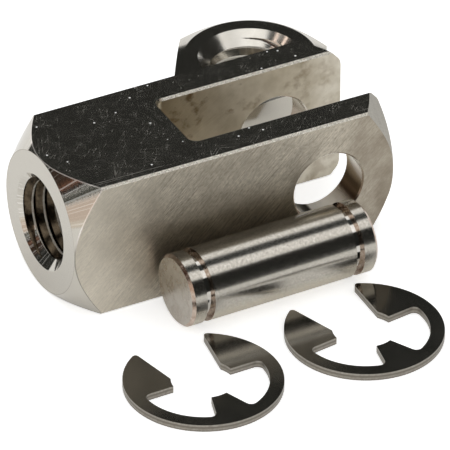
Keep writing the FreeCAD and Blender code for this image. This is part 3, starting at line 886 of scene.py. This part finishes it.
def nut_surfaces(middle, half):
    """Chamfer and countersink of both faces and the tapped bore."""
    found = [Turned(middle, Z, (-half, TAP_RADIUS), (half, TAP_RADIUS))]
    depth = NUT_COUNTERSINK - TAP_RADIUS
    fall = NUT_CHAMFER_REACH * math.tan(NUT_CHAMFER)
    for side in (-1, 1):
        level = side * half
        rim = (level - side * fall, NUT_END_FLAT + NUT_CHAMFER_REACH)
        found.append(Turned(middle, Z, (level, NUT_END_FLAT), rim))
        found.append(Turned(middle, Z, (level, NUT_COUNTERSINK), (level - side * depth, TAP_RADIUS)))
    return found


def make_nut():
    """The nut, with its thread cut: smooth outside and burnished in its countersinks and thread."""
    low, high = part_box("lock_nut")
    middle = (low + high) / 2
    start = Vector((middle.x, middle.y, low.z - NUT_TAP_LEAD))
    length = high.z - low.z + 2 * NUT_TAP_LEAD
    mesh = cut_thread(merged_copy("lock_nut", "nut_blank"), thread_tool(start, Z, X, length))
    bottom = Vector((middle.x, middle.y, low.z))

    def in_nut_thread(face):
        return in_thread(face, bottom, Z, high.z - low.z, NUT_COUNTERSINK)

    true_normals(mesh, nut_surfaces(middle, high.z - middle.z), in_nut_thread)
    mesh.materials.clear()
    add_material(mesh, steel("nut_smooth", plain_grain))
    bowl = add_material(mesh, steel("nut_bowl", soft_bowl))
    for face in mesh.polygons:
        off = face.center - middle
        if abs(face.normal.z) < NUT_FACE and math.hypot(off.x, off.y) < NUT_COUNTERSINK + 2 * HAIR:
            face.material_index = bowl
    piece = piece_from(mesh, "nut", "lock_nut")


PIN_RADIUS = 3.175 * MM
PIN_TURN = math.radians(1.4)
PIN_AXIS = Vector((math.cos(PIN_TURN), math.sin(PIN_TURN), 0))
PIN_HALF = 8.89 * MM
PIN_CHAMFER = 0.25 * MM
GROOVE_RADIUS = 2.75 * MM
GROOVE_INNER = 6.8 * MM
GROOVE_WIDTH = 0.74 * MM
BELOW_BODY = 0.03 * MM
PIN_LEAN = 0.2


def pin_surfaces(middle):
    """Body, lands, groove bottoms and end chamfers of the pin."""
    found = [Turned(middle, PIN_AXIS, (-PIN_HALF, PIN_RADIUS), (PIN_HALF, PIN_RADIUS))]
    for side in (-1, 1):
        groove_end = (side * (GROOVE_INNER + GROOVE_WIDTH), GROOVE_RADIUS)
        found.append(Turned(middle, PIN_AXIS, (side * GROOVE_INNER, GROOVE_RADIUS), groove_end))
        start = (side * (PIN_HALF - PIN_CHAMFER), PIN_RADIUS)
        found.append(Turned(middle, PIN_AXIS, start, (side * PIN_HALF, PIN_RADIUS - PIN_CHAMFER)))
    return found


def make_pin():
    """The cross pin: turned body, grooves, their walls and the faced ends."""
    mesh = merged_copy("clevis_pin", "pin")
    low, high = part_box("clevis_pin")
    middle = (low + high) / 2
    true_normals(mesh, pin_surfaces(middle))
    mesh.materials.clear()
    add_material(mesh, steel("pin_turned", turned_along_x))
    cut = add_material(mesh, steel("pin_groove", pin_groove))
    edge = add_material(mesh, steel("pin_edge", pin_edge))
    end = add_material(mesh, steel("pin_face", pin_face))
    for face in mesh.polygons:
        along = (face.center - middle).dot(PIN_AXIS)
        across = (face.center - middle - PIN_AXIS * along).length
        lean = abs(face.normal.dot(PIN_AXIS))
        if lean > LEVEL and abs(along) > PIN_HALF - HAIR:
            face.material_index = end
        elif lean > PIN_LEAN:
            face.material_index = edge
        elif across < PIN_RADIUS - BELOW_BODY:
            face.material_index = cut
    piece = piece_from(mesh, "pin", "clevis_pin")


CLIP_RADIUS = 6.73 * MM
CLIP_RING_RADIUS = 5.53 * MM
CLIP_SEAT_RADIUS = 2.72 * MM
CLIP_CENTRES = {
    "left": Vector((-18.67, -19.33, 0)) * MM,
    "right": Vector((-3.25, -18.88, 0)) * MM,
}
CLIP_FAR = 10 * MM
CLIP_TONE = (0.40, 0.38, 0.34)
CLIP_FACE = 0.5


def clip_surfaces(side):
    """Outer rim, ring and seat of a clip, upright on the table."""
    centre = CLIP_CENTRES[side]
    found = []
    for radius in (CLIP_RADIUS, CLIP_RING_RADIUS, CLIP_SEAT_RADIUS):
        found.append(Turned(centre, Z, (-CLIP_FAR, radius), (CLIP_FAR, radius)))
    return found


def make_clip(side):
    """A retaining clip: rolled strip with sheared edges."""
    node = "retaining_clip_" + side
    mesh = merged_copy(node, "clip_" + side)
    true_normals(mesh, clip_surfaces(side))
    mesh.materials.clear()
    add_material(mesh, steel(f"clip_{side}_rolled", rolled_strip, tone=CLIP_TONE))
    edge = add_material(mesh, steel(f"clip_{side}_sheared", sheared, roughness=0.35))
    for face in mesh.polygons:
        if abs(face.normal.z) < CLIP_FACE:
            face.material_index = edge
    piece = piece_from(mesh, "clip_" + side, node)


# The studio, seen from the set: floor, dark flags and the openings between them
FLOOR_HALF = 6.0
FLOOR_TONE = (0.93, 0.93, 0.92)
WHITE = (1, 1, 1)
FLOOR_LIFT = 0.55
MIRROR_LIFT = 0.2
WORLD_LIGHT = 0.75
FLAG_DISTANCE = 2.4
FLAG_HALF_LENGTH = 2.6
FLAG_STEP = 3
LAMP_INSET = 0.3
STRIP_LENGTH = 3.0

# Flags over the set: first and last angle in degrees from the front up, and what each gives
FLAGS = (
    ("front_flag", 1, 51, (0.02, 0.021, 0.02)),
    ("overhead_flag", 81, 103, (0.05, 0.055, 0.055)),
    ("back_flag", 130, 178, (0.03, 0.031, 0.029)),
)

# Cards across the ends: place along X, lower and upper height, and what each gives
END_CARDS = (
    ("left_card_floor", -FLAG_HALF_LENGTH, 0.00, 0.30, (0.86, 0.79, 0.71)),
    ("left_card_low", -FLAG_HALF_LENGTH, 0.30, 0.93, (0.78, 0.66, 0.58)),
    ("left_card_middle", -FLAG_HALF_LENGTH, 0.98, 1.20, (0.06, 0.065, 0.055)),
    ("left_card_dark", -FLAG_HALF_LENGTH, 1.24, 1.42, (0.012, 0.012, 0.012)),
    ("left_card_warm", -FLAG_HALF_LENGTH, 1.42, 1.47, (0.50, 0.25, 0.17)),
    ("left_card_high", -FLAG_HALF_LENGTH, 1.47, 2.60, (0.05, 0.032, 0.024)),
    ("right_card", FLAG_HALF_LENGTH, 0.25, 2.60, (0.03, 0.03, 0.028)),
)

# Small bright cards that the countersinks mirror
SPOT_HALF = 0.13
SPOT_GLOW = (2.4, 2.0, 1.8)
SPOTS = (("left_spot", (-2.14, 0.30, 2.23)), ("left_spot_back", (-2.16, 1.17, 1.90)))

# Lamps: angle in degrees from the front up, width and radiance
STRIPS = (("front_strip", 66, 0.9, 0.35), ("back_strip", 116, 0.6, 0.3))


def above_set(degrees, distance):
    """A point over the set, at an angle from the front up."""
    turn = math.radians(degrees)
    return Vector((0, -math.cos(turn), math.sin(turn))) * distance


def facing_set(place):
    """A placement there, turned to the set."""
    return Matrix.Translation(place) @ place.to_track_quat("Z", "Y").to_matrix().to_4x4()


def add_card(work, name, colour):
    """Makes a bmesh into a glowing card that only mirrors see."""
    material = blank_material(name)
    tree = material.node_tree
    glow = add(tree, "Emission", Strength=1.0)
    feed(tree, glow.inputs["Color"], colour)
    show(tree, glow)
    mesh = mesh_of(work, name)
    mesh.materials.append(material)
    card = bpy.data.objects.new(name, mesh)
    bpy.context.scene.collection.objects.link(card)
    card.visible_camera = False
    card.visible_diffuse = False
    card.visible_shadow = False


def add_flag(name, first, last, colour):
    """A card bent about the X axis between two angles."""
    work = bmesh.new()
    edge = above_set(first, FLAG_DISTANCE)
    reach = X * FLAG_HALF_LENGTH
    ends = [work.verts.new(edge - reach), work.verts.new(edge + reach)]
    side = work.edges.new(ends)
    bmesh.ops.spin(
        work,
        geom=ends + [side],
        cent=(0, 0, 0),
        axis=-X,
        angle=math.radians(last - first),
        steps=round((last - first) / FLAG_STEP),
    )
    add_card(work, name, colour)


def add_flat_card(name, placed, colour, half_size=1):
    """A flat square card, placed and stretched by a matrix."""
    work = bmesh.new()
    bmesh.ops.create_grid(work, x_segments=1, y_segments=1, size=half_size, matrix=placed)
    add_card(work, name, colour)


def add_end_card(name, x, low, high, colour):
    """A card across one end of the studio, between two heights."""
    shape = Matrix.Diagonal(((high - low) / 2, FLAG_DISTANCE, 1, 1))
    upright = Matrix.Rotation(math.pi / 2, 4, "Y") @ shape
    add_flat_card(name, Matrix.Translation((x, 0, (low + high) / 2)) @ upright, colour)


def make_floor():
    """White table that keeps the soft shadows of the set."""
    work = bmesh.new()
    level = Matrix.Translation((0, 0, table_level))
    bmesh.ops.create_grid(work, x_segments=2, y_segments=2, size=FLOOR_HALF, matrix=level)
    material = blank_material("table")
    tree = material.node_tree
    paint = add(tree, "BsdfDiffuse")
    feed(tree, paint.inputs["Color"], FLOOR_TONE)
    glow = add(tree, "Emission")
    feed(tree, glow.inputs["Color"], WHITE)
    path = add(tree, "LightPath").outputs
    camera_lift = combine(tree, "MULTIPLY", path["Is Camera Ray"], FLOOR_LIFT)
    mirror_lift = combine(tree, "MULTIPLY", path["Is Glossy Ray"], MIRROR_LIFT)
    tree.links.new(combine(tree, "ADD", camera_lift, mirror_lift), glow.inputs["Strength"])
    both = add(tree, "AddShader")
    tree.links.new(paint.outputs[0], both.inputs[0])
    tree.links.new(glow.outputs[0], both.inputs[1])
    show(tree, both)
    mesh = mesh_of(work, "table")
    mesh.materials.append(material)
    floor = bpy.data.objects.new("table", mesh)
    bpy.context.scene.collection.objects.link(floor)


def make_world():
    """White to the camera and to mirrors, softer as light on the set."""
    world = bpy.data.worlds.new("studio")
    bpy.context.scene.world = world
    world.use_nodes = True
    tree = world.node_tree
    tree.nodes.clear()
    path = add(tree, "LightPath").outputs
    seen = combine(tree, "MAXIMUM", path["Is Camera Ray"], path["Is Glossy Ray"])
    seen = combine(tree, "MAXIMUM", seen, path["Is Transmission Ray"])
    glow = add(tree, "Background")
    feed(tree, glow.inputs["Color"], WHITE)
    tree.links.new(spread(tree, seen, WORLD_LIGHT, 1.0), glow.inputs["Strength"])
    output = add(tree, "OutputWorld")
    tree.links.new(glow.outputs[0], output.inputs["Surface"])


def add_strip_light(name, degrees, width, radiance):
    """Soft lamp over the set, facing it."""
    lamp = bpy.data.lights.new(name, "AREA")
    lamp.shape = "RECTANGLE"
    lamp.size = STRIP_LENGTH
    lamp.size_y = width
    lamp.energy = radiance * math.pi * width * STRIP_LENGTH
    item = bpy.data.objects.new(name, lamp)
    item.matrix_world = facing_set(above_set(degrees, FLAG_DISTANCE - LAMP_INSET))
    bpy.context.scene.collection.objects.link(item)


def make_studio():
    """Table, world, flags, cards and lamps."""
    make_floor()
    make_world()
    for flag in FLAGS:
        add_flag(*flag)
    for card in END_CARDS:
        add_end_card(*card)
    for name, place in SPOTS:
        add_flat_card(name, facing_set(Vector(place)), SPOT_GLOW, SPOT_HALF)
    for strip in STRIPS:
        add_strip_light(*strip)


def make_camera():
    """The photograph's camera."""
    level, climb = math.cos(CAMERA_ELEVATION), math.sin(CAMERA_ELEVATION)
    back = Vector((math.sin(CAMERA_AZIMUTH) * level, -math.cos(CAMERA_AZIMUTH) * level, climb))
    right = Z.cross(back).normalized()
    above = back.cross(right)
    rolled_right = right * math.cos(CAMERA_ROLL) + above * math.sin(CAMERA_ROLL)
    rolled_above = above * math.cos(CAMERA_ROLL) - right * math.sin(CAMERA_ROLL)
    lens = bpy.data.cameras.new("camera")
    lens.lens = LENS_MM
    lens.sensor_width = SENSOR_MM
    lens.clip_start, lens.clip_end = NEAREST, FARTHEST
    camera = bpy.data.objects.new("camera", lens)
    turned = Matrix((rolled_right, rolled_above, back)).transposed().to_4x4()
    camera.matrix_world = Matrix.Translation(CAMERA_TARGET + back * CAMERA_DISTANCE) @ turned
    bpy.context.scene.collection.objects.link(camera)
    bpy.context.scene.camera = camera


make_fork()
make_nut()
make_pin()
make_clip("left")
make_clip("right")
make_studio()
make_camera()
bpy.context.scene.view_settings.view_transform = "Standard"
